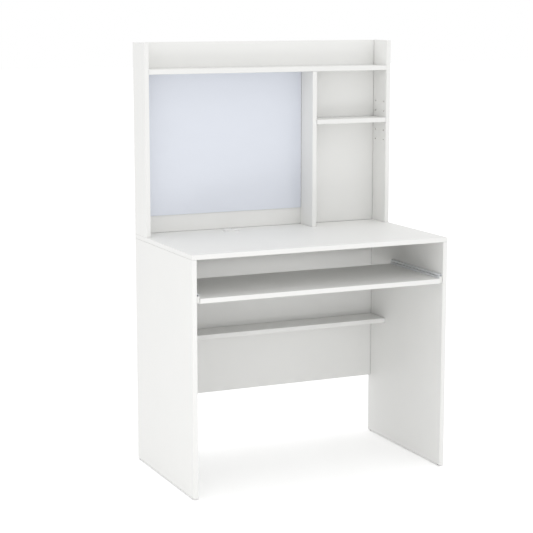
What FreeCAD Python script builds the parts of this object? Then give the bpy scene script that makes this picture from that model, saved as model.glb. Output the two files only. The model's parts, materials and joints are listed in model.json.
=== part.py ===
"""A computer desk with a hutch, in white faced particle board, as a flat-pack product is built.

Millimetres. X runs to the right, Y to the rear and Z up. The origin is on the floor, below the
middle of the desk. Boards are drilled from the same list of fixings that places the dowels, cam
fittings and screws, so every hole follows the piece that sits in it. Small fixings and their holes
are flat-sided rods, with more sides where they show.
"""
import FreeCAD, Part
import math
import os
import re

import Sketcher

V = FreeCAD.Vector

SIZES = {
    # overall
    "width": 872,
    "depth": 490,
    "desk_height": 750,
    "total_height": 1360,
    "board": 15,
    "edge_ease": 1,
    # hutch
    "hutch_depth": 104,
    "gallery_height": 83,
    "left_bay": 569,
    "whiteboard_rise": 56,
    "whiteboard_sheet": 3,
    "whiteboard_gap": 1,
    # adjustable shelf on pins
    "pin_rows": 5,
    "shelf_row": 3,
    "pin_pitch": 32,
    "lowest_pin_row": 279,
    "pin_front_inset": 18,
    "pin_rear_inset": 16,
    "pin_diameter": 5,
    "pin_length": 16,
    "pin_seat": 8.5,
    "pin_recess": 6.5,
    "pin_play": 0.2,
    "shelf_gap": 1,
    # under the desk top
    "tray_headroom": 117,
    "tray_depth": 327,
    "foot_shelf_height": 421,
    "foot_shelf_depth": 100,
    "modesty_bottom": 202,
    # floor glides
    "glide_height": 3,
    "glide_diameter": 14,
    "glide_inset": 14,
    "nail_diameter": 2.4,
    "nail_length": 14,
    # roller slides of the keyboard tray
    "slide_width": 10.2,
    "slide_height": 28,
    "slide_rise": 1,
    "slide_length": 320,
    "slide_setback": 5,
    "slide_sheet": 1.2,
    "slide_bend": 1,
    "outer_reach": 8.4,
    "outer_lip": 3,
    "hold_down_lip": 6,
    "tray_ledge": 14,
    "runner_near": 2,
    "tray_travel": 220,
    "stop_reach": 6,
    "stop_gap": 0.6,
    "roller_diameter": 18,
    "roller_width": 4,
    "roller_near": 2.4,
    "roller_play": 0.15,
    "roller_inset": 14,
    "axle_diameter": 5,
    "axle_play": 0.05,
    "axle_gap": 0.2,
    "axle_shoulder": 8,
    "axle_head": 0.8,
    "relief_hole": 4,
    "relief_first": 14,
    "relief_rise": 17,
    "relief_count": 3,
    "relief_pitch": 112,
    "screw_count": 2,
    "screw_pitch": 224,
    "side_screw_first": 32,
    "tray_screw_first": 50,
    "slide_screw": 3.5,
    "slide_screw_bite": 12,
    "slide_screw_head": 7,
    "slide_screw_cap": 0.9,
    # cable grommet
    "grommet_offset": 130,
    "grommet_setback": 53,
    "grommet_flange": 51,
    "grommet_rise": 4,
    "grommet_bore": 44,
    "grommet_wall": 2,
    "grommet_drop": 3,
    "cap_ledge": 3.7,
    "cap_sheet": 2,
    "cap_play": 0.3,
    "notch_width": 14,
    "notch_start": 8.5,
    "notch_turn": 45,
    # fixings
    "drill_slack": 0.2,
    "hidden_sides": 8,
    "shown_sides": 12,
    "dowel_diameter": 8,
    "dowel_length": 30,
    "dowel_bite": 9,
    "cam_diameter": 15,
    "cam_depth": 12,
    "cam_setback": 24,
    "cam_roof": 3.6,
    "cam_drive": 9,
    "cam_drive_width": 1.8,
    "cam_drive_depth": 2,
    "cam_hollow_end": 1,
    "bolt_thread": 5,
    "bolt_bite": 10,
    "bolt_head": 6.4,
    "bolt_head_height": 3,
    "bolt_bore": 8,
    "panel_screw": 6.4,
    "panel_screw_bite": 34,
    "panel_screw_head": 10,
    "panel_screw_head_height": 3.2,
    "fixing_inset": 60,
    "wide_fixing_inset": 136,
    "middle_fixing_offset": 150,
    "hutch_dowel_inset": 22,
}

doc = FreeCAD.newDocument("computer_desk")
sheet = doc.addObject("Spreadsheet::Sheet", "Sizes")
for row, (alias, size) in enumerate(SIZES.items(), start=1):
    sheet.set(f"A{row}", alias)
    sheet.set(f"B{row}", str(size))
    sheet.setAlias(f"B{row}", alias)
doc.recompute()

# Places that several pieces share, as formulas of the sizes
LEFT = "(-width / 2)"
RIGHT = "(width / 2)"
IN_LEFT = "(board - width / 2)"
IN_RIGHT = "(width / 2 - board)"
FRONT = "(-depth / 2)"
REAR = "(depth / 2)"
BACK_FACE = "(depth / 2 - board)"
BACK_MIDDLE = "(depth / 2 - board / 2)"
UNDER_TOP = "(desk_height - board)"
HUTCH_FRONT = "(depth / 2 - hutch_depth)"
HUTCH_MIDDLE = "(depth / 2 - board / 2 - hutch_depth / 2)"
HUTCH_SHELF_TOP = "(total_height - gallery_height)"
HUTCH_SHELF_UNDER = "(total_height - gallery_height - board)"
DIVIDER_LEFT = "(board - width / 2 + left_bay)"
DIVIDER_RIGHT = "(2 * board - width / 2 + left_bay)"
DIVIDER_MIDDLE = "(1.5 * board - width / 2 + left_bay)"
PIN_ROW = "(desk_height + lowest_pin_row + (shelf_row - 1) * pin_pitch)"
SHELF_UNDER = f"({PIN_ROW} + pin_diameter / 2 + pin_play - pin_recess)"
PIN_FRONT = f"({HUTCH_FRONT} + pin_front_inset)"
PIN_REAR = f"({BACK_FACE} - pin_rear_inset)"
TRAY_TOP = "(desk_height - board - tray_headroom)"
TRAY_UNDER = "(desk_height - 2 * board - tray_headroom)"
FOOT_FRONT = f"({BACK_FACE} - foot_shelf_depth)"
FOOT_MIDDLE = "(foot_shelf_height - board / 2)"
SLIDE_FRONT = f"({FRONT} + slide_setback)"
SLIDE_BOTTOM = f"({TRAY_UNDER} + slide_rise)"
FRONT_ROLLER_HEIGHT = "(slide_sheet + 2 * roller_play + roller_diameter / 2)"
REAR_ROLLER_HEIGHT = "(slide_sheet + roller_play + roller_diameter / 2)"
REAR_ROLLER_Y = "(slide_length - slide_sheet - stop_gap - roller_diameter / 2)"
RUNNER_UNDER = "(slide_sheet + 3 * roller_play + roller_diameter)"
RUNNER_TOP = f"({RUNNER_UNDER} + slide_sheet)"
ROLLER_FAR = "(roller_near + roller_width)"
LEFT_SLIDE = (IN_LEFT, SLIDE_FRONT, SLIDE_BOTTOM)
GROMMET_Y = f"({BACK_FACE} - grommet_setback)"

# Lowest and highest corner of each board
CORNERS = {
    "desk_left_side": ((LEFT, FRONT, "glide_height"), (IN_LEFT, REAR, UNDER_TOP)),
    "desk_right_side": ((IN_RIGHT, FRONT, "glide_height"), (RIGHT, REAR, UNDER_TOP)),
    "desk_top": ((LEFT, FRONT, UNDER_TOP), (RIGHT, REAR, "desk_height")),
    "modesty_panel": ((IN_LEFT, BACK_FACE, "modesty_bottom"), (IN_RIGHT, REAR, UNDER_TOP)),
    "foot_shelf": (
        (IN_LEFT, FOOT_FRONT, "foot_shelf_height - board"),
        (IN_RIGHT, BACK_FACE, "foot_shelf_height"),
    ),
    "keyboard_tray": (
        (f"{IN_LEFT} + slide_width", FRONT, TRAY_UNDER),
        (f"{IN_RIGHT} - slide_width", f"{FRONT} + tray_depth", TRAY_TOP),
    ),
    "hutch_left_side": ((LEFT, HUTCH_FRONT, "desk_height"), (IN_LEFT, REAR, "total_height")),
    "hutch_right_side": ((IN_RIGHT, HUTCH_FRONT, "desk_height"), (RIGHT, REAR, "total_height")),
    "hutch_back_panel": ((IN_LEFT, BACK_FACE, "desk_height"), (IN_RIGHT, REAR, "total_height")),
    "hutch_shelf": ((IN_LEFT, HUTCH_FRONT, HUTCH_SHELF_UNDER), (IN_RIGHT, BACK_FACE, HUTCH_SHELF_TOP)),
    "hutch_divider": (
        (DIVIDER_LEFT, HUTCH_FRONT, "desk_height"),
        (DIVIDER_RIGHT, BACK_FACE, HUTCH_SHELF_UNDER),
    ),
    "adjustable_shelf": (
        (f"{DIVIDER_RIGHT} + shelf_gap", HUTCH_FRONT, SHELF_UNDER),
        (f"{IN_RIGHT} - shelf_gap", f"{BACK_FACE} - shelf_gap", f"{SHELF_UNDER} + board"),
    ),
    "whiteboard": (
        (f"{IN_LEFT} + whiteboard_gap", f"{BACK_FACE} - whiteboard_sheet", "desk_height + whiteboard_rise"),
        (f"{DIVIDER_LEFT} - whiteboard_gap", BACK_FACE, f"{HUTCH_SHELF_UNDER} - whiteboard_gap"),
    ),
}

# Holes to drill in each piece: (direction, diameter, depth, sides) to the places where they start
DRILLINGS = {name: {} for name in (*CORNERS, "slide_outer_left", "slide_inner_left")}
# Where each kind of fixing goes: (place, turn)
DOWELS = []
CAM_BOLTS = []
CAM_LOCKS = []
PANEL_SCREWS = []
SIDE_SCREWS = []
TRAY_SCREWS = []
GLIDES = []
SHELF_PINS = []
FRONT_AXLES = []
REAR_AXLES = []

# Two points nearer than this are the same point
SAME = 0.001


def in_sheet(formula):
    """The formula with each size's name pointing at its cell."""
    return re.sub(r"[a-z][a-z_]*", lambda word: f"Sizes.{word.group()}", formula)


def number(formula):
    return float(sheet.evalExpression(in_sheet(formula)))


def bind(thing, prop, formula):
    thing.setExpression(prop, in_sheet(formula))


def axis_of(direction):
    """The place of a direction's letter among X, Y and Z."""
    return "xyz".index(direction[1])


def vector(direction):
    """The unit vector of a direction such as '+x'."""
    parts = [0, 0, 0]
    parts[axis_of(direction)] = 1 if direction[0] == "+" else -1
    return V(*parts)


def opposite(direction):
    return ("-" if direction[0] == "+" else "+") + direction[1]


def shifted(place, direction, distance):
    """A place moved by a distance along a direction."""
    moved = list(place)
    axis = axis_of(direction)
    moved[axis] = f"({place[axis]} {direction[0]} ({distance}))"
    return tuple(moved)


# Drawing and feature helpers


def put(thing, place, turn=FreeCAD.Rotation()):
    """Stands a piece at a place given by formulas, turned from its own axes."""
    thing.Placement = FreeCAD.Placement(V(0, 0, 0), turn)
    for axis, formula in zip("xyz", place):
        bind(thing, f"Placement.Base.{axis}", formula)


def new_body(name, place, turn=FreeCAD.Rotation()):
    body = doc.addObject("PartDesign::Body", name)
    body.Label = name
    put(body, place, turn)
    return body


def new_sketch(body, role, offset="0"):
    plane = next(feature for feature in body.Origin.OriginFeatures if feature.Role == role)
    sketch = body.newObject("Sketcher::SketchObject", f"{body.Name}_sketch")
    sketch.AttachmentSupport = [(plane, "")]
    sketch.MapMode = "FlatFace"
    bind(sketch, "AttachmentOffset.Base.z", offset)
    return sketch


def hold_point(sketch, shape, point, x, y):
    """Ties one point of a sketched shape to the sketch's origin."""
    for kind, formula in (("DistanceX", x), ("DistanceY", y)):
        index = sketch.addConstraint(Sketcher.Constraint(kind, -1, 1, shape, point, number(formula)))
        bind(sketch, f"Constraints[{index}]", formula)


def polygon(sketch, points):
    corners = [V(number(x), number(y), 0) for x, y in points]
    first = sketch.GeometryCount
    count = len(points)
    for index in range(count):
        sketch.addGeometry(Part.LineSegment(corners[index], corners[(index + 1) % count]), False)
    for index in range(count):
        following = first + (index + 1) % count
        sketch.addConstraint(Sketcher.Constraint("Coincident", first + index, 2, following, 1))
    for index, (x, y) in enumerate(points):
        hold_point(sketch, first + index, 1, x, y)


def rectangle(sketch, low, high):
    polygon(sketch, [low, (high[0], low[1]), high, (low[0], high[1])])


def circle(sketch, x, y, diameter):
    centre = V(number(x), number(y), 0)
    shape = sketch.addGeometry(Part.Circle(centre, V(0, 0, 1), number(diameter) / 2), False)
    index = sketch.addConstraint(Sketcher.Constraint("Diameter", shape, number(diameter)))
    bind(sketch, f"Constraints[{index}]", diameter)
    hold_point(sketch, shape, 3, x, y)


def pad(body, sketch, length, backwards=False):
    feature = body.newObject("PartDesign::Pad", f"{body.Name}_pad")
    feature.Profile = sketch
    feature.Reversed = backwards
    bind(feature, "Length", length)
    doc.recompute()
    return feature


def pocket(body, sketch, depth, backwards=False):
    """Cuts the sketch into the body and stops if it meets no material."""
    before = body.Shape.Volume
    feature = body.newObject("PartDesign::Pocket", f"{body.Name}_pocket")
    feature.Profile = sketch
    feature.Reversed = backwards
    bind(feature, "Length", depth)
    doc.recompute()
    if body.Shape.Volume >= before:
        raise ValueError(f"{feature.Name} in {body.Label} cuts nothing")
    return feature


def revolve(body, points):
    """Turns a profile of (radius, height) points about the body's Z axis."""
    sketch = new_sketch(body, "XZ_Plane")
    polygon(sketch, points)
    feature = body.newObject("PartDesign::Revolution", f"{body.Name}_turning")
    feature.Profile = sketch
    feature.ReferenceAxis = (sketch, ["V_Axis"])
    feature.Angle = 360
    doc.recompute()
    return feature


def ease(body, size, wanted):
    """Chamfers the edges of the body that the test picks."""
    base = body.Tip
    names = [f"Edge{index}" for index, edge in enumerate(base.Shape.Edges, start=1) if wanted(edge)]
    feature = body.newObject("PartDesign::Chamfer", f"{body.Name}_chamfer")
    feature.Base = (base, names)
    bind(feature, "Size", size)
    doc.recompute()
    return feature


def rod(name, diameter, length, sides, place=("0", "0", "0"), turn=FreeCAD.Rotation()):
    """A flat-sided round bar that starts at a place."""
    bar = doc.addObject("Part::Prism", name)
    bind(bar, "Polygon", sides)
    bind(bar, "Circumradius", f"({diameter}) / 2")
    bind(bar, "Height", length)
    put(bar, place, turn)
    return bar


def block(name, low, high):
    """A plain block between two corners."""
    shape = doc.addObject("Part::Box", name)
    for side, below, above in zip(("Length", "Width", "Height"), low, high):
        bind(shape, side, f"({above}) - ({below})")
    put(shape, low)
    return shape


def cut_away(name, piece, tools):
    """The piece without the tools' volume; stops if they meet no material."""
    gathered = doc.addObject("Part::Compound", f"{name}_tools")
    gathered.Links = tools
    result = doc.addObject("Part::Cut", f"{name}_cut")
    result.Base = piece
    result.Tool = gathered
    doc.recompute()
    if result.Shape.Volume >= piece.Shape.Volume:
        raise ValueError(f"{result.Name} cuts nothing")
    return result


def drill(name, piece):
    """Drills a piece's holes, one cut for each direction, diameter and depth."""
    for (direction, diameter, depth, sides), places in DRILLINGS[name].items():
        turn = along(direction)
        bits = [rod(f"{name}_bit", diameter, depth, sides, place, turn) for place in places]
        piece = cut_away(name, piece, bits)
    piece.Label = name
    return piece


def stacked(name, stages):
    """A fixing of rods along one Z axis, each with its diameter, start, end and number of sides."""
    rods = [
        rod(f"{name}_stage", diameter, f"({end}) - ({start})", sides, ("0", "0", start))
        for diameter, start, end, sides in stages
    ]
    if len(rods) == 1:
        return rods[0]
    fused = doc.addObject("Part::MultiFuse", name)
    fused.Shapes = rods
    doc.recompute()
    return fused


def blank(name):
    """A board before drilling, with its banded edges eased in front and at the desk top's ends."""
    low, high = CORNERS[name]
    size = [f"({above}) - ({below})" for below, above in zip(low, high)]
    body = new_body(f"{name}_blank", low)
    outline = new_sketch(body, "XY_Plane")
    rectangle(outline, ("0", "0"), (size[0], size[1]))
    pad(body, outline, size[2])
    if name != "whiteboard":
        thickness = number("board")
        length = number(size[0])

        def banded(edge):
            ends = edge.Vertexes
            in_front = all(abs(end.Y) < SAME for end in ends)
            at_an_end = any(all(abs(end.X - x) < SAME for end in ends) for x in (0, length))
            return edge.Length > thickness + SAME and (in_front or name == "desk_top" and at_an_end)

        ease(body, "edge_ease", banded)
    return body


def board(name):
    return drill(name, blank(name))


def copies(name, master, spots):
    """Copies of one fixing, each a link to the master, gathered under one name."""
    links = []
    for place, rotation in spots:
        link = doc.addObject("App::Link", f"{name}_copy")
        link.LinkedObject = master
        link.LinkTransform = True
        put(link, place, rotation)
        links.append(link)
    group = doc.addObject("Part::Compound", name)
    group.Label = name
    group.Links = links
    return group


def mirrored(name, source):
    """The same piece on the other side of the desk."""
    copy = doc.addObject("Part::Mirroring", name)
    copy.Label = name
    copy.Source = source
    copy.Normal = V(1, 0, 0)
    return copy


# Fixings: each one notes its own place and the holes that it needs


def add_hole(name, direction, diameter, depth, place, sides="hidden_sides"):
    DRILLINGS[name].setdefault((direction, diameter, depth, sides), []).append(place)


def along(direction):
    """The turn that points a fixing's own Z axis in a direction."""
    return FreeCAD.Rotation(V(0, 0, 1), vector(direction))


def add_dowel(face_board, edge_board, direction, place):
    """A dowel from one board's face into another's edge, at a place where the two meet."""
    width = "dowel_diameter + 2 * drill_slack"
    add_hole(face_board, opposite(direction), width, "dowel_bite + drill_slack", place)
    add_hole(edge_board, direction, width, "dowel_length - dowel_bite + drill_slack", place)
    DOWELS.append((place, along(direction)))


def add_cam(face_board, edge_board, direction, place, lock_side):
    """A cam fitting: a bolt in one board's face, pulled by a lock let into the other board's side."""
    thread = "bolt_thread + 2 * drill_slack"
    add_hole(face_board, opposite(direction), thread, "bolt_bite + drill_slack", place)
    add_hole(edge_board, direction, "bolt_bore", "cam_setback", place)
    centre = shifted(place, direction, "cam_setback")
    low, high = CORNERS[edge_board]
    axis = axis_of(lock_side)
    on_side = list(centre)
    on_side[axis] = high[axis] if lock_side[0] == "+" else low[axis]
    width = "cam_diameter + 2 * drill_slack"
    add_hole(edge_board, opposite(lock_side), width, "cam_depth + drill_slack", on_side, "shown_sides")
    outward = vector(lock_side)
    bolt_axis = vector(direction)
    turn = FreeCAD.Rotation(bolt_axis, outward.cross(bolt_axis), outward, "ZXY")
    CAM_BOLTS.append((place, along(direction)))
    CAM_LOCKS.append((tuple(on_side), turn))


def add_panel_screw(through_board, edge_board, direction, place):
    """A confirmat screw through one board's face into another's edge, flush at its head."""
    start = shifted(place, opposite(direction), "board")
    head = "panel_screw_head + 2 * drill_slack"
    shank = "panel_screw + 2 * drill_slack"
    add_hole(through_board, direction, head, "panel_screw_head_height", start, "shown_sides")
    add_hole(through_board, direction, shank, "board", start)
    add_hole(edge_board, direction, shank, "panel_screw_bite + drill_slack", place)
    PANEL_SCREWS.append((place, along(direction)))


def fix_desk():
    top_z = UNDER_TOP
    for side, x, inward in (("desk_left_side", LEFT, "+x"), ("desk_right_side", RIGHT, "-x")):
        middle = f"({x} {inward[0]} board / 2)"
        inner = f"({x} {inward[0]} board)"
        add_dowel("desk_top", side, "-z", (middle, f"{FRONT} + fixing_inset", top_z))
        add_cam("desk_top", side, "-z", (middle, "0", top_z), inward)
        add_cam("desk_top", side, "-z", (middle, f"{REAR} - fixing_inset", top_z), inward)
        for z in (f"{UNDER_TOP} - fixing_inset", "modesty_bottom + fixing_inset"):
            add_cam(side, "modesty_panel", inward, (inner, BACK_MIDDLE, z), "+y")
        half_way = f"({UNDER_TOP} + modesty_bottom) / 2"
        add_dowel(side, "modesty_panel", inward, (inner, BACK_MIDDLE, half_way))
        add_dowel(side, "foot_shelf", inward, (inner, f"{BACK_FACE} - foot_shelf_depth / 2", FOOT_MIDDLE))
        bottom = (middle, f"{FRONT} + glide_inset", "glide_height")
        rear_bottom = (middle, f"{REAR} - glide_inset", "glide_height")
        for place in (bottom, rear_bottom):
            add_hole(side, "+z", "nail_diameter + 2 * drill_slack", "nail_length + drill_slack", place)
            GLIDES.append((place, FreeCAD.Rotation()))
    for x in ("-middle_fixing_offset", "middle_fixing_offset"):
        add_dowel("desk_top", "modesty_panel", "-z", (x, BACK_MIDDLE, UNDER_TOP))
    for x in (f"{IN_LEFT} + wide_fixing_inset", "0", f"{IN_RIGHT} - wide_fixing_inset"):
        add_panel_screw("modesty_panel", "foot_shelf", "-y", (x, BACK_FACE, FOOT_MIDDLE))


def fix_hutch():
    shelf_z = f"({HUTCH_SHELF_UNDER} + board / 2)"
    for side, x, inward in (("hutch_left_side", LEFT, "+x"), ("hutch_right_side", RIGHT, "-x")):
        middle = f"({x} {inward[0]} board / 2)"
        inner = f"({x} {inward[0]} board)"
        add_dowel("desk_top", side, "+z", (middle, f"{HUTCH_FRONT} + hutch_dowel_inset", "desk_height"))
        for z in ("desk_height + fixing_inset", "total_height - gallery_height / 2"):
            add_cam(side, "hutch_back_panel", inward, (inner, BACK_MIDDLE, z), "+y")
        add_dowel(side, "hutch_shelf", inward, (inner, HUTCH_MIDDLE, shelf_z))
        from_side = f"({inner} {inward[0]} wide_fixing_inset)"
        add_panel_screw("hutch_back_panel", "hutch_shelf", "-y", (from_side, BACK_FACE, shelf_z))
    add_panel_screw("hutch_back_panel", "hutch_shelf", "-y", ("0", BACK_FACE, shelf_z))
    add_dowel("desk_top", "hutch_divider", "+z", (DIVIDER_MIDDLE, HUTCH_MIDDLE, "desk_height"))
    add_dowel("hutch_shelf", "hutch_divider", "-z", (DIVIDER_MIDDLE, HUTCH_MIDDLE, HUTCH_SHELF_UNDER))
    for z in ("desk_height + fixing_inset", f"{HUTCH_SHELF_UNDER} - fixing_inset"):
        add_panel_screw("hutch_back_panel", "hutch_divider", "-y", (DIVIDER_MIDDLE, BACK_FACE, z))


def drill_pin_rows():
    """Rows of shelf-pin holes in the right bay, with pins in the row that carries the shelf."""
    width = "pin_diameter + 2 * drill_slack"
    for name, face, into in (("hutch_divider", DIVIDER_RIGHT, "-x"), ("hutch_right_side", IN_RIGHT, "+x")):
        for y in (PIN_FRONT, PIN_REAR):
            for index in range(int(number("pin_rows"))):
                z = f"desk_height + lowest_pin_row + {index} * pin_pitch"
                add_hole(name, into, width, "pin_seat + drill_slack", (face, y, z), "shown_sides")
            SHELF_PINS.append(((face, y, PIN_ROW), along(opposite(into))))


def fix_slides():
    """Screws and roller axles of the two slides, with the holes for them."""
    width = "slide_screw + 2 * drill_slack"
    axle_width = "axle_diameter + 2 * drill_slack"
    sides = (("desk_left_side", IN_LEFT, "+x"), ("desk_right_side", IN_RIGHT, "-x"))
    for side, face, inward in sides:
        outward = opposite(inward)
        ledge = f"({face} {inward[0]} (slide_width - slide_sheet + tray_ledge / 2))"
        for index in range(int(number("screw_count"))):
            side_y = f"{SLIDE_FRONT} + side_screw_first + {index} * screw_pitch"
            tray_y = f"{SLIDE_FRONT} + tray_screw_first + {index} * screw_pitch"
            in_side = (face, side_y, f"{SLIDE_BOTTOM} + slide_height / 2")
            in_tray = (ledge, tray_y, TRAY_UNDER)
            add_hole(side, outward, width, "slide_screw_bite + drill_slack", in_side)
            add_hole("keyboard_tray", "+z", width, "slide_screw_bite + drill_slack", in_tray)
            SIDE_SCREWS.append((in_side, along(outward)))
            TRAY_SCREWS.append((in_tray, along("+z")))
        front = (face, f"{SLIDE_FRONT} + roller_inset", f"{SLIDE_BOTTOM} + {FRONT_ROLLER_HEIGHT}")
        tray_end = f"({face} {inward[0]} slide_width)"
        rear = (tray_end, f"{SLIDE_FRONT} + {REAR_ROLLER_Y}", f"{SLIDE_BOTTOM} + {REAR_ROLLER_HEIGHT}")
        FRONT_AXLES.append((front, along(inward)))
        REAR_AXLES.append((rear, along(outward)))
    left_screws = len(SIDE_SCREWS) // 2
    for place, _ in SIDE_SCREWS[:left_screws]:
        add_hole("slide_outer_left", "+x", width, "slide_sheet", place)
    for place, _ in TRAY_SCREWS[:left_screws]:
        add_hole("slide_inner_left", "-z", width, "slide_sheet", place)
    add_hole("slide_outer_left", "+x", axle_width, "slide_sheet", FRONT_AXLES[0][0])
    add_hole("slide_inner_left", "-x", axle_width, "slide_sheet", REAR_AXLES[0][0])
    for index in range(int(number("relief_count"))):
        relief_y = f"{SLIDE_FRONT} + relief_first + {index} * relief_pitch"
        place = (f"{IN_LEFT} + slide_width", relief_y, f"{SLIDE_BOTTOM} + relief_rise")
        add_hole("slide_inner_left", "-x", "relief_hole", "slide_sheet", place)


# Boards that need more than drilling


def desk_top():
    """The desk top, bored for the cable grommet."""
    body = blank("desk_top")
    low = CORNERS["desk_top"][0]
    bore = new_sketch(body, "XY_Plane")
    circle(bore, f"-grommet_offset - ({low[0]})", f"{GROMMET_Y} - ({low[1]})", "grommet_bore")
    pocket(body, bore, "board", backwards=True)
    return drill("desk_top", body)


def adjustable_shelf():
    """The loose shelf, with a recess over each pin so that the pins don't show."""
    body = blank("adjustable_shelf")
    low, high = CORNERS["adjustable_shelf"]
    length = f"({high[0]}) - ({low[0]})"
    reach = "pin_length - pin_seat"
    width = "pin_diameter / 2 + 2 * pin_play"
    recesses = new_sketch(body, "XY_Plane")
    for y in (PIN_FRONT, PIN_REAR):
        middle = f"{y} - ({low[1]})"
        near = f"{middle} - ({width})"
        far = f"{middle} + {width}"
        rectangle(recesses, ("0", near), (reach, far))
        rectangle(recesses, (f"{length} - ({reach})", near), (length, far))
    pocket(body, recesses, "pin_recess", backwards=True)
    return drill("adjustable_shelf", body)


# Roller slides: a channel on the desk's side with a roller in front, and a runner on the tray with a
# roller at its rear. The runner rolls on the front roller, and the rear roller runs in the channel. The
# channel's upper lip holds the runner down, and the rear roller meets a stop at each end of its way.


def runs_along_y(edge):
    ends = [vertex.Point for vertex in edge.Vertexes]
    return len(ends) == 2 and abs(ends[0].x - ends[1].x) + abs(ends[0].z - ends[1].z) < SAME


def at_corners(corners):
    """A test for edges along Y that pass through one of the given (x, z) corners of a profile."""
    spots = [(number(x), number(z)) for x, z in corners]

    def test(edge):
        point = edge.Vertexes[0].Point
        near = min(math.hypot(point.x - x, point.z - z) for x, z in spots)
        return runs_along_y(edge) and near < SAME
    return test


def slide_outer():
    """A rolled channel that is screwed to the desk's side, with two stops turned in for the rear roller."""
    body = new_body("slide_outer_blank", LEFT_SLIDE)
    near_lip = "(outer_reach - slide_sheet)"
    top = "slide_height"
    under_top = "(slide_height - slide_sheet)"
    lip_end = "(slide_height - hold_down_lip)"
    profile = new_sketch(body, "XZ_Plane")
    polygon(profile, [
        ("0", "0"), ("outer_reach", "0"), ("outer_reach", "outer_lip"), (near_lip, "outer_lip"),
        (near_lip, "slide_sheet"), ("slide_sheet", "slide_sheet"), ("slide_sheet", under_top),
        (near_lip, under_top), (near_lip, lip_end), ("outer_reach", lip_end), ("outer_reach", top),
        ("0", top),
    ])
    pad(body, profile, "slide_length", backwards=True)
    bends = [("0", "0"), ("outer_reach", "0"), ("outer_reach", top), ("0", top)]
    ease(body, "slide_bend", at_corners(bends))
    closed_stop = "(slide_length - slide_sheet)"
    open_stop = f"({REAR_ROLLER_Y} - roller_diameter / 2 - tray_travel - stop_gap - slide_sheet)"
    for start in (closed_stop, open_stop):
        stop = new_sketch(body, "XZ_Plane", f"-{start}")
        rectangle(stop, ("0", "slide_sheet"), ("stop_reach", REAR_ROLLER_HEIGHT))
        pad(body, stop, "slide_sheet", backwards=True)
    return drill("slide_outer_left", body)


def slide_inner():
    """The runner: a ledge under the tray, a web on its end and a track that rests on the front roller."""
    body = new_body("slide_inner_blank", LEFT_SLIDE)
    web = "(slide_width - slide_sheet)"
    ledge_top = "(-slide_rise)"
    ledge_under = "(-slide_rise - slide_sheet)"
    profile = new_sketch(body, "XZ_Plane")
    polygon(profile, [
        (web, ledge_under), (f"{web} + tray_ledge", ledge_under), (f"{web} + tray_ledge", ledge_top),
        ("slide_width", ledge_top), ("slide_width", RUNNER_TOP), ("runner_near", RUNNER_TOP),
        ("runner_near", RUNNER_UNDER), (web, RUNNER_UNDER),
    ])
    pad(body, profile, "slide_length - slide_sheet - stop_gap", backwards=True)
    ease(body, "slide_bend", at_corners([(web, ledge_under), ("slide_width", RUNNER_TOP)]))
    return drill("slide_inner_left", body)


def roller(name, y, height):
    """A nylon roller that turns on its axle."""
    place = (f"{IN_LEFT} + roller_near", f"{SLIDE_FRONT} + {y}", f"{SLIDE_BOTTOM} + {height}")
    body = new_body(name, place, along("+x"))
    bore = "(axle_diameter / 2 + axle_play)"
    rim = "roller_diameter / 2"
    revolve(body, [(bore, "0"), (rim, "0"), (rim, "roller_width"), (bore, "roller_width")])
    return body


def front_axle():
    """A rivet through the channel's web, with a shoulder and a head on either side of the roller."""
    end = f"({ROLLER_FAR} + axle_gap)"
    return stacked("front_axle_master", [
        ("axle_diameter", "0", end, "hidden_sides"),
        ("axle_shoulder", "slide_sheet", "roller_near - axle_gap", "hidden_sides"),
        ("axle_shoulder", end, f"{end} + axle_head", "shown_sides"),
    ])


def rear_axle():
    """A rivet through the runner's web, with a shoulder behind the roller."""
    return stacked("rear_axle_master", [
        ("axle_diameter", "0", "slide_width - roller_near", "hidden_sides"),
        ("axle_shoulder", "slide_sheet", f"slide_width - {ROLLER_FAR} - axle_gap", "hidden_sides"),
    ])


# Cable grommet

GROMMET_PLACE = ("-grommet_offset", GROMMET_Y, "desk_height")
LINER_OUTER = "(grommet_bore / 2 - drill_slack)"
LINER_INNER = "(grommet_bore / 2 - drill_slack - grommet_wall)"
CAP_SEAT = "(grommet_rise - cap_sheet)"
CAP_RECESS = f"({LINER_INNER} + cap_ledge)"


def grommet_liner():
    """A flanged sleeve through the desk top, with a ledge for the cap."""
    body = new_body("grommet_liner", GROMMET_PLACE)
    end = "-(board + grommet_drop)"
    rim = "grommet_flange / 2"
    revolve(body, [
        (LINER_INNER, end), (LINER_OUTER, end), (LINER_OUTER, "0"), (rim, "0"), (rim, "grommet_rise"),
        (CAP_RECESS, "grommet_rise"), (CAP_RECESS, CAP_SEAT), (LINER_INNER, CAP_SEAT),
    ])
    return body


def grommet_cap():
    """A cap that turns in the liner, with a notch at its rim for the cables."""
    body = new_body("grommet_cap", GROMMET_PLACE)
    disc = new_sketch(body, "XY_Plane", CAP_SEAT)
    circle(disc, "0", "0", f"2 * ({CAP_RECESS} - cap_play)")
    pad(body, disc, "cap_sheet")
    notch = new_sketch(body, "XY_Plane", CAP_SEAT)
    rectangle(notch, ("-notch_width / 2", "notch_start"), ("notch_width / 2", "grommet_flange / 2"))
    pocket(body, notch, "cap_sheet", backwards=True)
    bind(body, "Placement.Rotation.Angle", "-notch_turn")
    return body


# Fixings, each drawn once with its Z axis along its own length


def dowel():
    end = "dowel_length - dowel_bite"
    return stacked("dowel_master", [("dowel_diameter", "-dowel_bite", end, "hidden_sides")])


def cam_bolt():
    """The bolt of a cam fitting: a threaded rod and its head."""
    head_start = "cam_setback - bolt_head_height / 2"
    head_end = "cam_setback + bolt_head_height / 2"
    return stacked("cam_bolt_master", [
        ("bolt_thread", "-bolt_bite", head_start, "hidden_sides"),
        ("bolt_head", head_start, head_end, "hidden_sides"),
    ])


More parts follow.
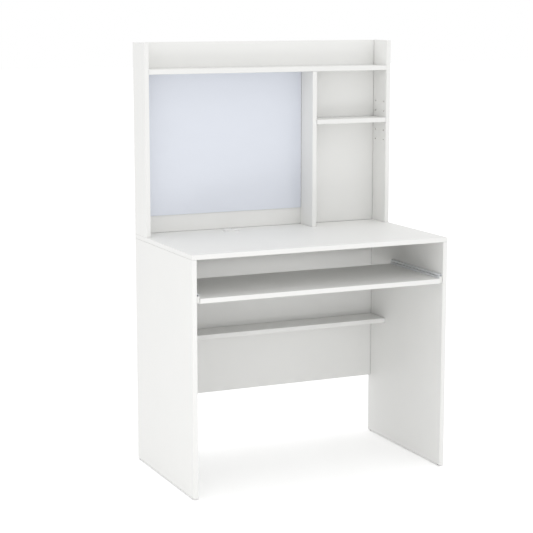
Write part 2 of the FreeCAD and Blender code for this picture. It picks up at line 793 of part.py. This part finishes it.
def cam_lock():
    """The round lock of a cam fitting, hollow towards the bolt and with a slot in its face."""
    disc = rod("cam_disc", "cam_diameter", "cam_depth", "shown_sides", ("0", "0", "-cam_depth"))
    doc.recompute()
    half = "(bolt_head / 2 + drill_slack)"
    reach = "bolt_head_height / 2 + cam_hollow_end"
    hollow = block("cam_hollow", ("-cam_diameter", f"-{half}", "-cam_depth"), (reach, half, "-cam_roof"))
    slot_half = ("cam_drive / 2", "cam_drive_width / 2")
    slot_low = (f"-{slot_half[0]}", f"-{slot_half[1]}", "-cam_drive_depth")
    slot = block("cam_slot", slot_low, (*slot_half, "0"))
    return cut_away("cam_lock_master", disc, [hollow, slot])


def panel_screw():
    """A confirmat screw with a flush flat head."""
    head_low = "panel_screw_head_height - board"
    return stacked("panel_screw_master", [
        ("panel_screw_head", "-board", head_low, "shown_sides"),
        ("panel_screw", head_low, "panel_screw_bite", "hidden_sides"),
    ])


def slide_screw():
    """A flat-head screw of a slide, from its head on the sheet into the board behind."""
    return stacked("slide_screw_master", [
        ("slide_screw_head", "-slide_sheet - slide_screw_cap", "-slide_sheet", "shown_sides"),
        ("slide_screw", "-slide_sheet", "slide_screw_bite", "hidden_sides"),
    ])


def glide():
    """A nail-in glide under a desk side: a low round foot on a nail."""
    return stacked("glide_master", [
        ("glide_diameter", "-glide_height", "0", "shown_sides"),
        ("nail_diameter", "0", "nail_length", "hidden_sides"),
    ])


def shelf_pin():
    """A plain round pin, part in its hole and part under the shelf."""
    end = "pin_length - pin_seat"
    return stacked("shelf_pin_master", [("pin_diameter", "-pin_seat", end, "hidden_sides")])


def build():
    """Every sub-part of the desk, in the order in which it goes together."""
    fix_desk()
    fix_hutch()
    drill_pin_rows()
    fix_slides()
    pieces = [desk_top(), adjustable_shelf()]
    made = {piece.Label for piece in pieces}
    pieces += [board(name) for name in CORNERS if name not in made]
    front_roller = roller("front_roller_left", "roller_inset", FRONT_ROLLER_HEIGHT)
    rear_roller = roller("rear_roller_left", REAR_ROLLER_Y, REAR_ROLLER_HEIGHT)
    for left in (slide_outer(), slide_inner(), front_roller, rear_roller):
        pieces += [left, mirrored(left.Label.replace("left", "right"), left)]
    pieces += [grommet_liner(), grommet_cap()]
    screw = slide_screw()
    pieces += [
        copies("dowels", dowel(), DOWELS),
        copies("cam_bolts", cam_bolt(), CAM_BOLTS),
        copies("cam_locks", cam_lock(), CAM_LOCKS),
        copies("panel_screws", panel_screw(), PANEL_SCREWS),
        copies("front_roller_axles", front_axle(), FRONT_AXLES),
        copies("rear_roller_axles", rear_axle(), REAR_AXLES),
        copies("slide_side_screws", screw, SIDE_SCREWS),
        copies("slide_tray_screws", screw, TRAY_SCREWS),
        copies("floor_glides", glide(), GLIDES),
        copies("shelf_pins", shelf_pin(), SHELF_PINS),
    ]
    return pieces


def check(pieces):
    for thing in doc.Objects:
        if "Invalid" in thing.State or "Error" in thing.State:
            raise ValueError(f"{thing.Name} failed: {thing.State}")
    for piece in pieces:
        if piece.Shape.isNull() or not piece.Shape.isValid():
            raise ValueError(f"{piece.Label} has no valid shape")


def write(pieces):
    os.makedirs("parts", exist_ok=True)
    for piece in pieces:
        piece.Shape.exportStep(f"parts/{piece.Label}.step")


sub_parts = build()
doc.recompute()
check(sub_parts)
write(sub_parts)
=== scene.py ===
"""Looks of the white computer desk: finishes, small hardware, floor, light and camera."""
import json
import math

import bmesh
import bpy
from mathutils import Matrix, Vector


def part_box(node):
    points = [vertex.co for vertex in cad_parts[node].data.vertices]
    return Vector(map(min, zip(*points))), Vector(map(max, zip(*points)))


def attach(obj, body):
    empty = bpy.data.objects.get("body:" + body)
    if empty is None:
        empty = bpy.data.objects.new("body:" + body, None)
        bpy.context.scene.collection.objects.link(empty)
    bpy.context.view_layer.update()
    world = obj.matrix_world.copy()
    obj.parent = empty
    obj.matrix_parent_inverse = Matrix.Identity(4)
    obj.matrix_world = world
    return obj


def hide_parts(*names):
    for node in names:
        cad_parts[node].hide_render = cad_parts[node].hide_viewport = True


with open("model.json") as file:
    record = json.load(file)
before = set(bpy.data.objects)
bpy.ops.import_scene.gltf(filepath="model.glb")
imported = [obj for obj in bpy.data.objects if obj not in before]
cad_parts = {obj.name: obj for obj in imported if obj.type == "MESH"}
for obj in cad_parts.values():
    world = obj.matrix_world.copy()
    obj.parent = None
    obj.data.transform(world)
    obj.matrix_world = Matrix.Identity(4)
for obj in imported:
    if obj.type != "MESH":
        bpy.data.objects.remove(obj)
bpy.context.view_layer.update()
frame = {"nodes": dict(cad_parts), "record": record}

MM = 0.001
NODES = frame["nodes"]
SCENE = bpy.context.scene
SLOT_OF = {entry["node"]: entry["material_slot"] for entry in frame["record"]["subparts"]}


# Node helpers


def new_material(name):
    """A material with its nodes, its Principled shader and a coordinate node in the part's own frame."""
    material = bpy.data.materials.new(name)
    material.use_nodes = True
    tree = material.node_tree
    shader = tree.nodes["Principled BSDF"]
    coords = tree.nodes.new("ShaderNodeTexCoord")
    return material, tree, shader, coords


def noise(tree, coords, scale, detail, stretch=(1, 1, 1), roughness=0.5):
    """A noise pattern of the given scale per metre, stretched along the axes."""
    mapping = tree.nodes.new("ShaderNodeMapping")
    mapping.inputs["Scale"].default_value = stretch
    tree.links.new(coords.outputs["Object"], mapping.inputs["Vector"])
    texture = tree.nodes.new("ShaderNodeTexNoise")
    texture.inputs["Scale"].default_value = scale
    texture.inputs["Detail"].default_value = detail
    texture.inputs["Roughness"].default_value = roughness
    tree.links.new(mapping.outputs["Vector"], texture.inputs["Vector"])
    return texture.outputs["Fac"]


def ramp(tree, value, stops):
    """A colour ramp over a value; stops are (position, colour)."""
    node = tree.nodes.new("ShaderNodeValToRGB")
    while len(node.color_ramp.elements) < len(stops):
        node.color_ramp.elements.new(0.5)
    for element, (position, colour) in zip(node.color_ramp.elements, stops):
        element.position = position
        element.color = (*colour, 1)
    tree.links.new(value, node.inputs["Fac"])
    return node.outputs["Color"]


def between(tree, pattern, dark, pale, start=0.3, end=0.7):
    """A colour that a pattern moves from dark to pale."""
    return ramp(tree, pattern, [(start, dark), (end, pale)])


def shade(colour, factor):
    """A colour at a share of its brightness."""
    return tuple(channel * factor for channel in colour)


def spread(tree, value, low, high):
    """The value mapped from 0..1 to low..high."""
    node = tree.nodes.new("ShaderNodeMapRange")
    node.inputs["To Min"].default_value = low
    node.inputs["To Max"].default_value = high
    tree.links.new(value, node.inputs["Value"])
    return node.outputs["Result"]


def bump(tree, height, strength, distance):
    """A normal that follows a pattern of heights."""
    node = tree.nodes.new("ShaderNodeBump")
    node.inputs["Strength"].default_value = strength
    node.inputs["Distance"].default_value = distance
    tree.links.new(height, node.inputs["Height"])
    return node.outputs["Normal"]


def connect(tree, value, socket):
    """Puts a number on a socket, or links another socket to it."""
    if isinstance(value, float):
        socket.default_value = value
    else:
        tree.links.new(value, socket)


def calculate(tree, operation, first, second):
    """A maths node over two values, each a socket or a number."""
    node = tree.nodes.new("ShaderNodeMath")
    node.operation = operation
    connect(tree, first, node.inputs[0])
    connect(tree, second, node.inputs[1])
    return node.outputs[0]


def blend(tree, factor, first, second, kind="MIX"):
    """One colour over another."""
    node = tree.nodes.new("ShaderNodeMix")
    node.data_type = "RGBA"
    node.blend_type = kind
    colours = [socket for socket in node.inputs if socket.type == "RGBA"]
    connect(tree, factor, node.inputs["Factor"])
    tree.links.new(first, colours[0])
    tree.links.new(second, colours[1])
    return next(socket for socket in node.outputs if socket.type == "RGBA")


def within(tree, coords, box, margin):
    """1 more than a margin inside all six faces of a box, and 0 elsewhere."""
    parts = tree.nodes.new("ShaderNodeSeparateXYZ")
    tree.links.new(coords.outputs["Object"], parts.inputs[0])
    inside = None
    for axis, low, high in zip(parts.outputs, *box):
        above = calculate(tree, "GREATER_THAN", axis, float(low + margin))
        below = calculate(tree, "LESS_THAN", axis, float(high - margin))
        both = calculate(tree, "MULTIPLY", above, below)
        inside = both if inside is None else calculate(tree, "MULTIPLY", inside, both)
    return inside


def corner_shade(tree, reach):
    """Painted shade: 1 deep in an inside corner or in a joint between two boards, as ambient occlusion finds
    it, falling to 0 a short reach away.
    """
    node = tree.nodes.new("ShaderNodeAmbientOcclusion")
    node.samples = 8
    node.inputs["Distance"].default_value = reach
    return spread(tree, node.outputs["AO"], 1, 0)


# Finishes

WHITE = (0.84, 0.84, 0.825)
DARK_CHIPS = (0.10, 0.07, 0.045)
PALE_CHIPS = (0.30, 0.22, 0.14)
DARK_BEECH = (0.42, 0.25, 0.12)
PALE_BEECH = (0.62, 0.43, 0.24)
# How far inside a board's faces its raw core starts
CORE_DEPTH = 1.5 * MM
# Painted shade in inside corners, darkest at the seams of joints: how far it reaches, and its level from the
# open face (0) into the corner or joint (1)
SEAM_SHADE_REACH = 7 * MM
SEAM_SHADE_GREYS = ((0.1, 1), (0.5, 0.9), (0.95, 0.6))


def melamine(name, colour, box):
    """White faced board: a faint cloudiness in the sheet, a fine orange-peel face, uneven gloss, painted
    shade in its inside corners that greys to a dark seam in the joints, and raw chipboard in what is drilled
    into the box that the board fills."""
    material, tree, shader, coords = new_material(name)
    cloud = noise(tree, coords, scale=7, detail=4)
    grain = noise(tree, coords, scale=900, detail=2)
    chips = noise(tree, coords, scale=420, detail=5, roughness=0.7)
    face = between(tree, cloud, shade(colour, 0.985), colour)
    core = between(tree, chips, DARK_CHIPS, PALE_CHIPS)
    # Painted shade: ambient occlusion greys the face in every inside corner, and most at the seams of joints
    seam_shade_stops = [(position, (grey, grey, grey)) for position, grey in SEAM_SHADE_GREYS]
    seam_shade = ramp(tree, corner_shade(tree, SEAM_SHADE_REACH), seam_shade_stops)
    seam_shaded = blend(tree, 1.0, face, seam_shade, "MULTIPLY")
    tint = blend(tree, within(tree, coords, box, CORE_DEPTH), seam_shaded, core)
    tree.links.new(tint, shader.inputs["Base Color"])
    tree.links.new(spread(tree, cloud, low=0.42, high=0.52), shader.inputs["Roughness"])
    tree.links.new(bump(tree, grain, strength=0.06, distance=0.2 * MM), shader.inputs["Normal"])
    shader.inputs["Specular IOR Level"].default_value = 0.4
    return material


def dry_wipe(name, colour):
    """Glossy dry-wipe sheet with faint wiping marks in its gloss."""
    material, tree, shader, coords = new_material(name)
    smear = noise(tree, coords, scale=9, detail=5, stretch=(1, 1, 2.4), roughness=0.6)
    tint = between(tree, smear, shade(colour, 0.985), colour, start=0.25, end=0.75)
    tree.links.new(tint, shader.inputs["Base Color"])
    tree.links.new(spread(tree, smear, low=0.16, high=0.3), shader.inputs["Roughness"])
    shader.inputs["Coat Weight"].default_value = 0.3
    shader.inputs["Coat Roughness"].default_value = 0.12
    return material


def coated(name, colour):
    """Epoxy-coated sheet: a fine orange-peel coat, a little thinner along the rolled length."""
    material, tree, shader, coords = new_material(name)
    peel = noise(tree, coords, scale=700, detail=2)
    thin = noise(tree, coords, scale=40, detail=3, stretch=(1, 0.15, 1))
    tint = between(tree, thin, shade(colour, 0.93), colour)
    tree.links.new(tint, shader.inputs["Base Color"])
    tree.links.new(spread(tree, thin, low=0.28, high=0.4), shader.inputs["Roughness"])
    tree.links.new(bump(tree, peel, strength=0.1, distance=0.2 * MM), shader.inputs["Normal"])
    return material


def zinc(name, colour, rough_low, rough_high):
    """Zinc on a small fixing, blotchy in colour and gloss."""
    material, tree, shader, coords = new_material(name)
    marks = noise(tree, coords, scale=260, detail=4, roughness=0.6)
    blotch = noise(tree, coords, scale=30, detail=3)
    tint = between(tree, blotch, shade(colour, 0.9), colour)
    tree.links.new(tint, shader.inputs["Base Color"])
    tree.links.new(spread(tree, marks, rough_low, rough_high), shader.inputs["Roughness"])
    tree.links.new(bump(tree, marks, strength=0.08, distance=0.1 * MM), shader.inputs["Normal"])
    shader.inputs["Metallic"].default_value = 1
    return material


def plastic(name, colour, rough_low, rough_high):
    """Moulded plastic with a fine grain and slight mottling."""
    material, tree, shader, coords = new_material(name)
    grain = noise(tree, coords, scale=1400, detail=2)
    mottle = noise(tree, coords, scale=60, detail=3)
    tint = between(tree, mottle, shade(colour, 0.95), colour)
    tree.links.new(tint, shader.inputs["Base Color"])
    tree.links.new(spread(tree, mottle, rough_low, rough_high), shader.inputs["Roughness"])
    tree.links.new(bump(tree, grain, strength=0.12, distance=0.2 * MM), shader.inputs["Normal"])
    return material


def bare_beech(name):
    """Beech dowel stock: fine pores along the grain."""
    material, tree, shader, coords = new_material(name)
    pores = noise(tree, coords, scale=500, detail=4, stretch=(1, 1, 0.2), roughness=0.7)
    tint = between(tree, pores, DARK_BEECH, PALE_BEECH)
    tree.links.new(tint, shader.inputs["Base Color"])
    tree.links.new(spread(tree, pores, low=0.55, high=0.75), shader.inputs["Roughness"])
    tree.links.new(bump(tree, pores, strength=0.3, distance=0.3 * MM), shader.inputs["Normal"])
    return material


FINISHES = {
    "whiteboard_sheet": dry_wipe("dry_wipe_sheet", (0.735, 0.765, 0.835)),
    "coated_steel": coated("coated_sheet", (0.80, 0.82, 0.84)),
    "fixing_steel": zinc("zinc_fixings", (0.60, 0.61, 0.63), rough_low=0.28, rough_high=0.46),
    "cam_zinc": zinc("cast_zinc", (0.55, 0.56, 0.58), rough_low=0.38, rough_high=0.55),
    "beech": bare_beech("beech_dowel"),
    "nylon": plastic("white_nylon", (0.80, 0.80, 0.78), rough_low=0.35, rough_high=0.45),
    "grommet_plastic": plastic("grommet_plastic", (0.86, 0.86, 0.85), rough_low=0.42, rough_high=0.52),
    "glide_plastic": plastic("glide_plastic", (0.03, 0.03, 0.032), rough_low=0.5, rough_high=0.62),
}


def dress():
    """Gives every board its own white face, and every other node the finish of its material slot."""
    for node, slot in SLOT_OF.items():
        mesh = NODES[node].data
        mesh.materials.clear()
        if slot == "white_board":
            mesh.materials.append(melamine(f"{node}_melamine", WHITE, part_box(node)))
        else:
            mesh.materials.append(FINISHES[slot])


dress()


# Small hardware: each stands in for the flat-sided rods of a node, and is drawn with +Z out of its head

WELD = 0.01 * MM
SHARP = math.radians(35)
ROUND = 32
X, Y, Z = (Vector(axis) for axis in ((1, 0, 0), (0, 1, 0), (0, 0, 1)))


def solids(node):
    """The lowest and highest corner of each separate solid of a node."""
    grid = bmesh.new()
    grid.from_mesh(NODES[node].data)
    bmesh.ops.remove_doubles(grid, verts=grid.verts, dist=WELD)
    waiting = set(grid.verts)
    boxes = []
    while waiting:
        found = [waiting.pop()]
        for vertex in found:
            near = {edge.other_vert(vertex) for edge in vertex.link_edges} & waiting
            found.extend(near)
            waiting -= near
        corners = list(zip(*(vertex.co for vertex in found)))
        boxes.append((Vector(map(min, corners)), Vector(map(max, corners))))
    grid.free()
    return boxes


def depth_of(box, outward):
    """The length of a box along a direction."""
    return abs((box[1] - box[0]).dot(outward))


def inward(box):
    """Along X, from a solid towards the middle of the desk."""
    return X if (box[0] + box[1]).x < 0 else -X


def seat(box, outward, across):
    """The place at the middle of a box's outer face, with Z out of it and X along a given direction."""
    low, high = box
    middle = (low + high) / 2
    side = outward.cross(across)
    turn = Matrix((across, side, outward)).transposed().to_4x4()
    return Matrix.Translation(middle + outward * depth_of(box, outward) / 2) @ turn


def circle(radius, count=ROUND, turn=0.0):
    """The outline of a regular polygon, by the radius of its corners."""
    angles = [turn + math.tau * index / count for index in range(count)]
    return [(radius * math.cos(angle), radius * math.sin(angle)) for angle in angles]


def hexagon(across_flats):
    """The outline of a hexagon socket."""
    return circle(across_flats / math.sqrt(3), count=6)


def cross(reach, width):
    """The outline of a cross recess."""
    half = width / 2
    corner = [(reach, -half), (reach, half), (half, half)]
    points = []
    for c, s in ((1, 0), (0, 1), (-1, 0), (0, -1)):
        points += [(c * x - s * y, s * x + c * y) for x, y in corner]
    return points


def loop_at(grid, place, outline, z):
    """A closed loop of points over an outline."""
    return [grid.verts.new(place @ Vector((x, y, z))) for x, y in outline]


def skin(grid, lower, upper):
    """Faces between two loops with as many points."""
    count = len(lower)
    for index in range(count):
        following = (index + 1) % count
        grid.faces.new((lower[index], lower[following], upper[following], upper[index]))


def closed(grid, loops):
    """A closed solid through loops with as many points, from its lower end to its upper end."""
    grid.faces.new(list(reversed(loops[0])))
    for lower, upper in zip(loops, loops[1:]):
        skin(grid, lower, upper)
    grid.faces.new(loops[-1])


def turned(grid, place, profile, count=ROUND):
    """A closed turned solid; the profile is (radius, z) from its lower end to its upper end."""
    closed(grid, [loop_at(grid, place, circle(radius, count), z) for radius, z in profile])


def thread(core, crest, start, end, pitch):
    """The profile of a thread, from its tip up to its plain end."""
    turns = max(1, round((end - start) / pitch))
    step = (end - start) / turns
    points = []
    for index in range(turns):
        z = start + index * step
        points += [(core, z), (crest, z + step / 2)]
    return points + [(core, end)]


def recessed(grid, place, radius, depth, edge, outline, recess):
    """A round plate with its face at Z = 0, a bevelled edge and a recess of the given outline."""
    rim = loop_at(grid, place, circle(radius - edge), 0)
    shoulder = loop_at(grid, place, circle(radius), -edge)
    base = loop_at(grid, place, circle(radius), -depth)
    mouth = loop_at(grid, place, outline, 0)
    pit = loop_at(grid, place, outline, -recess)
    skin(grid, base, shoulder)
    skin(grid, shoulder, rim)
    skin(grid, pit, mouth)
    grid.faces.new(pit)
    grid.faces.new(list(reversed(base)))
    face_edges = [grid.edges.get((loop[i], loop[i - 1])) for loop in (rim, mouth) for i in range(len(loop))]
    bmesh.ops.triangle_fill(grid, use_beauty=True, edges=face_edges)


def open_wall(grid, place, inner, outer, low, high, gap):
    """A round wall with an opening of the given angle towards its X axis."""
    angles = [gap / 2 + (math.tau - gap) * index / ROUND for index in range(ROUND + 1)]
    sections = []
    for angle in angles:
        corners = ((inner, low), (outer, low), (outer, high), (inner, high))
        points = [Vector((r * math.cos(angle), r * math.sin(angle), z)) for r, z in corners]
        sections.append([grid.verts.new(place @ point) for point in points])
    grid.faces.new(sections[0])
    for near, far in zip(sections, sections[1:]):
        skin(grid, near, far)
    grid.faces.new(list(reversed(sections[-1])))


def new_piece(name, grid, body, slot):
    """Makes a piece of a mesh that rides on a body and has the finish of a slot."""
    bmesh.ops.recalc_face_normals(grid, faces=grid.faces)
    for edge in grid.edges:
        edge.smooth = edge.calc_face_angle(math.pi) < SHARP
    for face in grid.faces:
        face.smooth = True
    mesh = bpy.data.meshes.new(name)
    grid.to_mesh(mesh)
    grid.free()
    piece = bpy.data.objects.new(name, mesh)
    SCENE.collection.objects.link(piece)
    mesh.materials.append(FINISHES[slot])
    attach(piece, body)
    return piece


def stand_in(node, body, draw):
    """Draws a fixing at each solid of a node, as one piece that takes the node's place."""
    grid = bmesh.new()
    for box in solids(node):
        draw(grid, box)
    piece = new_piece(f"{node}_detail", grid, body, SLOT_OF[node])
    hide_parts(node)


def cam_lock(grid, box):
    """A die-cast lock: a face with a cross recess on a wall that opens towards the bolt."""
    size = box[1] - box[0]
    in_side_panel = size.x < size.y
    outward = inward(box) if in_side_panel else Y
    to_bolt = Z if in_side_panel else -inward(box)
    place = seat(box, outward, to_bolt)
    bottom = -depth_of(box, outward)
    radius = 7.2 * MM
    roof = 3.4 * MM
    slots = cross(reach=4.2 * MM, width=1.7 * MM)
    recessed(grid, place, radius, depth=roof, edge=0.5 * MM, outline=slots, recess=2.2 * MM)
    open_wall(grid, place, inner=5.6 * MM, outer=radius, low=bottom, high=-roof, gap=math.radians(80))


def cam_bolt(grid, box):
    """A bolt with a coarse thread in one board, a plain neck and a conical head in the lock."""
    size = box[1] - box[0]
    outward = -Z if size.z > size.x else inward(box)
    place = seat(box, outward, Y)
    bottom = -depth_of(box, outward)
    bite = bottom + 10 * MM
    tip = (1.2 * MM, bottom)
    coarse = thread(core=1.9 * MM, crest=2.45 * MM, start=bottom + 1 * MM, end=bite, pitch=1.6 * MM)
    neck = [(2.3 * MM, bite), (2.3 * MM, -3 * MM)]
    head = [(1.6 * MM, -2.8 * MM), (2.9 * MM, -1.4 * MM), (2.9 * MM, -0.6 * MM), (1.9 * MM, 0)]
    turned(grid, place, [tip, *coarse, *neck, *head], count=20)


def panel_screw(grid, box):
    """A confirmat screw: a flat head with a hexagon socket, a plain neck and a coarse thread."""
    place = seat(box, Y, X)
    bottom = -depth_of(box, Y)
    head = 3.2 * MM
    bite = bottom + 34 * MM
    socket = hexagon(across_flats=4 * MM)
    recessed(grid, place, radius=4.8 * MM, depth=head, edge=0.3 * MM, outline=socket, recess=2.6 * MM)
    tip = (0.6 * MM, bottom)
    coarse = thread(core=2.1 * MM, crest=3.0 * MM, start=bottom + 2 * MM, end=bite, pitch=3 * MM)
    neck = [(3.1 * MM, bite), (3.1 * MM, -head)]
    turned(grid, place, [tip, *coarse, *neck], count=20)


def chipboard_screw(grid, place, depth):
    """A low round head with a cross recess on a fine thread."""
    head = 0.9 * MM
    slots = cross(reach=1.5 * MM, width=0.6 * MM)
    recessed(grid, place, radius=3.35 * MM, depth=head, edge=0.35 * MM, outline=slots, recess=0.7 * MM)
    tip = (0.2 * MM, -depth)
    fine = thread(core=1.1 * MM, crest=1.6 * MM, start=2 * MM - depth, end=-2.5 * MM, pitch=1.4 * MM)
    neck = (1.5 * MM, -head)
    turned(grid, place, [tip, *fine, neck], count=16)


def side_screw(grid, box):
    """A screw through a slide's channel into the desk's side."""
    outward = inward(box)
    chipboard_screw(grid, seat(box, outward, Y), depth_of(box, outward))


def tray_screw(grid, box):
    """A screw through a slide's runner, up into the tray."""
    chipboard_screw(grid, seat(box, -Z, X), depth_of(box, Z))


def floor_glide(grid, box):
    """A nail-in glide with a rounded foot."""
    place = seat(box, -Z, X)
    bottom = -depth_of(box, Z)
    flange = -3 * MM
    nail = [(0.15 * MM, bottom), (1.1 * MM, bottom + 3 * MM), (1.1 * MM, flange)]
    side = [(6.7 * MM, flange), (6.7 * MM, -1.3 * MM)]
    sole = [(6.2 * MM, -0.5 * MM), (5.2 * MM, -0.1 * MM), (4.2 * MM, 0)]
    turned(grid, place, [*nail, *side, *sole])


def shelf_pin(grid, box):
    """A steel shelf pin with rounded ends."""
    outward = inward(box)
    place = seat(box, outward, Y)
    bottom = -depth_of(box, outward)
    radius = 2.3 * MM
    ease = 0.6 * MM
    ends = radius - ease
    turned(grid, place, [(ends, bottom), (radius, bottom + ease), (radius, -ease), (ends, 0)])


def dowel(grid, box):
    """A beech dowel with pressed flutes and chamfered ends."""
    size = box[1] - box[0]
    outward = Z if size.z > size.x else X
    place = seat(box, outward, Y)
    bottom = -depth_of(box, outward)
    flutes = 16
    groove_depth = 0.3 * MM
    chamfer = 1.5 * MM
    middle = 3.65 * MM
    ends = 2.8 * MM
    loops = []
    for radius, z in ((ends, bottom), (middle, bottom + chamfer), (middle, -chamfer), (ends, 0)):
        crest = loop_at(grid, place, circle(radius, flutes), z)
        groove = loop_at(grid, place, circle(radius - groove_depth, flutes, math.pi / flutes), z)
        loops.append([vertex for pair in zip(crest, groove) for vertex in pair])
    closed(grid, loops)


stand_in("cam_locks", "desk", cam_lock)
stand_in("cam_bolts", "desk", cam_bolt)
stand_in("panel_screws", "desk", panel_screw)
stand_in("dowels", "desk", dowel)
stand_in("slide_side_screws", "desk", side_screw)
stand_in("slide_tray_screws", "keyboard_tray", tray_screw)
stand_in("floor_glides", "desk", floor_glide)
stand_in("shelf_pins", "desk", shelf_pin)


# Nose caps: each covers most of the mouth of a slide at rest, and rides on the front end of its runner

SHEET = 1.2 * MM
CAP_GAP = 0.9 * MM
CAP_CORNER = 3 * MM
CAP_BACK = 0.2 * MM
# How far the cap's outline is inset, at each distance in front of the runner's end
CAP_LEVELS = ((0, CAP_BACK), (0, 1.6 * MM), (0.25 * MM, 2.2 * MM), (0.8 * MM, 2.6 * MM))
TONGUE_WIDTH = 5 * MM
TONGUE_HEIGHT = 6 * MM
TONGUE_CORNER = 0.6 * MM
TONGUE_END = -3.6 * MM


def rounded(low, high, radius, steps=5):
    """The outline of a rectangle with round corners, from its lowest and highest corner."""
    points = []
    for index, (x, y) in enumerate(((1, 1), (0, 1), (0, 0), (1, 0))):
        centre_x = high[0] - radius if x else low[0] + radius
        centre_y = high[1] - radius if y else low[1] + radius
        for step in range(steps + 1):
            angle = (index + step / steps) * math.pi / 2
            points.append((centre_x + radius * math.cos(angle), centre_y + radius * math.sin(angle)))
    return points


def nose_cap(side):
    """A moulded cap with an eased face, on a tongue in the corner between the runner's web and its track."""
    channel = [Vector(corner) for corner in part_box(f"slide_outer_{side}")]
    runner = [Vector(corner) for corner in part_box(f"slide_inner_{side}")]
    across = inward(channel)
    wall = channel[0].x if across == X else channel[1].x
    under = channel[0].z
    turn = Matrix((across, Z, -Y)).transposed().to_4x4()
    place = Matrix.Translation((wall, runner[0].y, under)) @ turn
    width = abs(wall) - abs(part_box("keyboard_tray")[1][0])
    height = runner[1].z - under
    grid = bmesh.new()
    loops = []
    for inset, z in CAP_LEVELS:
        low = (CAP_GAP + inset, inset)
        high = (width - CAP_GAP - inset, height - inset)
        loops.append(loop_at(grid, place, rounded(low, high, CAP_CORNER - inset), z))
    closed(grid, loops)
    high = (width - SHEET, height - SHEET)
    low = (high[0] - TONGUE_WIDTH, high[1] - TONGUE_HEIGHT)
    tongue = rounded(low, high, TONGUE_CORNER)
    closed(grid, [loop_at(grid, place, tongue, z) for z in (TONGUE_END, CAP_BACK)])
    new_piece(f"slide_cap_{side}", grid, "keyboard_tray", "nylon")


nose_cap("left")
nose_cap("right")


# Floor, light and camera


def seen_directly(tree):
    """1 for camera, glossy and transmission rays, and 0 for the light that falls on the desk."""
    path = tree.nodes.new("ShaderNodeLightPath").outputs
    shown = calculate(tree, "MAXIMUM", path["Is Camera Ray"], path["Is Glossy Ray"])
    return calculate(tree, "MAXIMUM", shown, path["Is Transmission Ray"])


def make_floor(size, colour, glow):
    """A white floor that stays white away from the desk and keeps its shadow."""
    bpy.ops.mesh.primitive_plane_add(size=size)
    floor = bpy.context.object
    floor.name = "floor"
    material = bpy.data.materials.new("white_floor")
    material.use_nodes = True
    tree = material.node_tree
    tree.nodes.clear()
    output = tree.nodes.new("ShaderNodeOutputMaterial")
    diffuse = tree.nodes.new("ShaderNodeBsdfDiffuse")
    diffuse.inputs["Color"].default_value = (*colour, 1)
    lift = tree.nodes.new("ShaderNodeEmission")
    tree.links.new(spread(tree, seen_directly(tree), 0, glow), lift.inputs["Strength"])
    both = tree.nodes.new("ShaderNodeAddShader")
    tree.links.new(diffuse.outputs[0], both.inputs[0])
    tree.links.new(lift.outputs[0], both.inputs[1])
    tree.links.new(both.outputs[0], output.inputs["Surface"])
    floor.data.materials.append(material)


def make_world(level):
    """An even dome of light of the given level, seen as white."""
    world = bpy.data.worlds.new("studio")
    world.use_nodes = True
    tree = world.node_tree
    background = tree.nodes["Background"]
    background.inputs["Color"].default_value = (1, 1, 1, 1)
    strength = spread(tree, seen_directly(tree), level, 1)
    tree.links.new(strength, background.inputs["Strength"])
    SCENE.world = world


def area_light(name, location, target, width, height, watts):
    """A rectangular lamp that points at a target."""
    data = bpy.data.lights.new(name, "AREA")
    data.shape = "RECTANGLE"
    data.size = width
    data.size_y = height
    data.energy = watts
    lamp = bpy.data.objects.new(name, data)
    SCENE.collection.objects.link(lamp)
    lamp.location = location
    aim = Vector(target) - Vector(location)
    lamp.rotation_euler = aim.to_track_quat("-Z", "Y").to_euler()


def make_camera(location, yaw, pitch, lens):
    """The photograph's camera: angles in degrees, yaw to the right of the desk's front-to-back axis."""
    data = bpy.data.cameras.new("camera")
    data.lens = lens
    data.sensor_width = 36
    camera = bpy.data.objects.new("camera", data)
    SCENE.collection.objects.link(camera)
    turn = math.radians(yaw)
    dip = math.radians(pitch)
    ahead = Vector((math.sin(turn) * math.cos(dip), math.cos(turn) * math.cos(dip), -math.sin(dip)))
    camera.location = location
    camera.rotation_euler = ahead.to_track_quat("-Z", "Y").to_euler()
    SCENE.camera = camera


make_floor(size=60, colour=(0.97, 0.97, 0.97), glow=0.24)
make_world(level=0.97)
area_light("top", location=(0, -0.8, 3.2), target=(0, 0, 0.7), width=2, height=2, watts=4.5)
area_light("fill", location=(-1.2, -1.8, 0.14), target=(0.2, 0.2, 0.35), width=2.6, height=0.22, watts=7)
make_camera(location=(-2.1269, -4.4720, 1.4822), yaw=24.56, pitch=9.55, lens=105.79)

SCENE.view_settings.view_transform = "Standard"
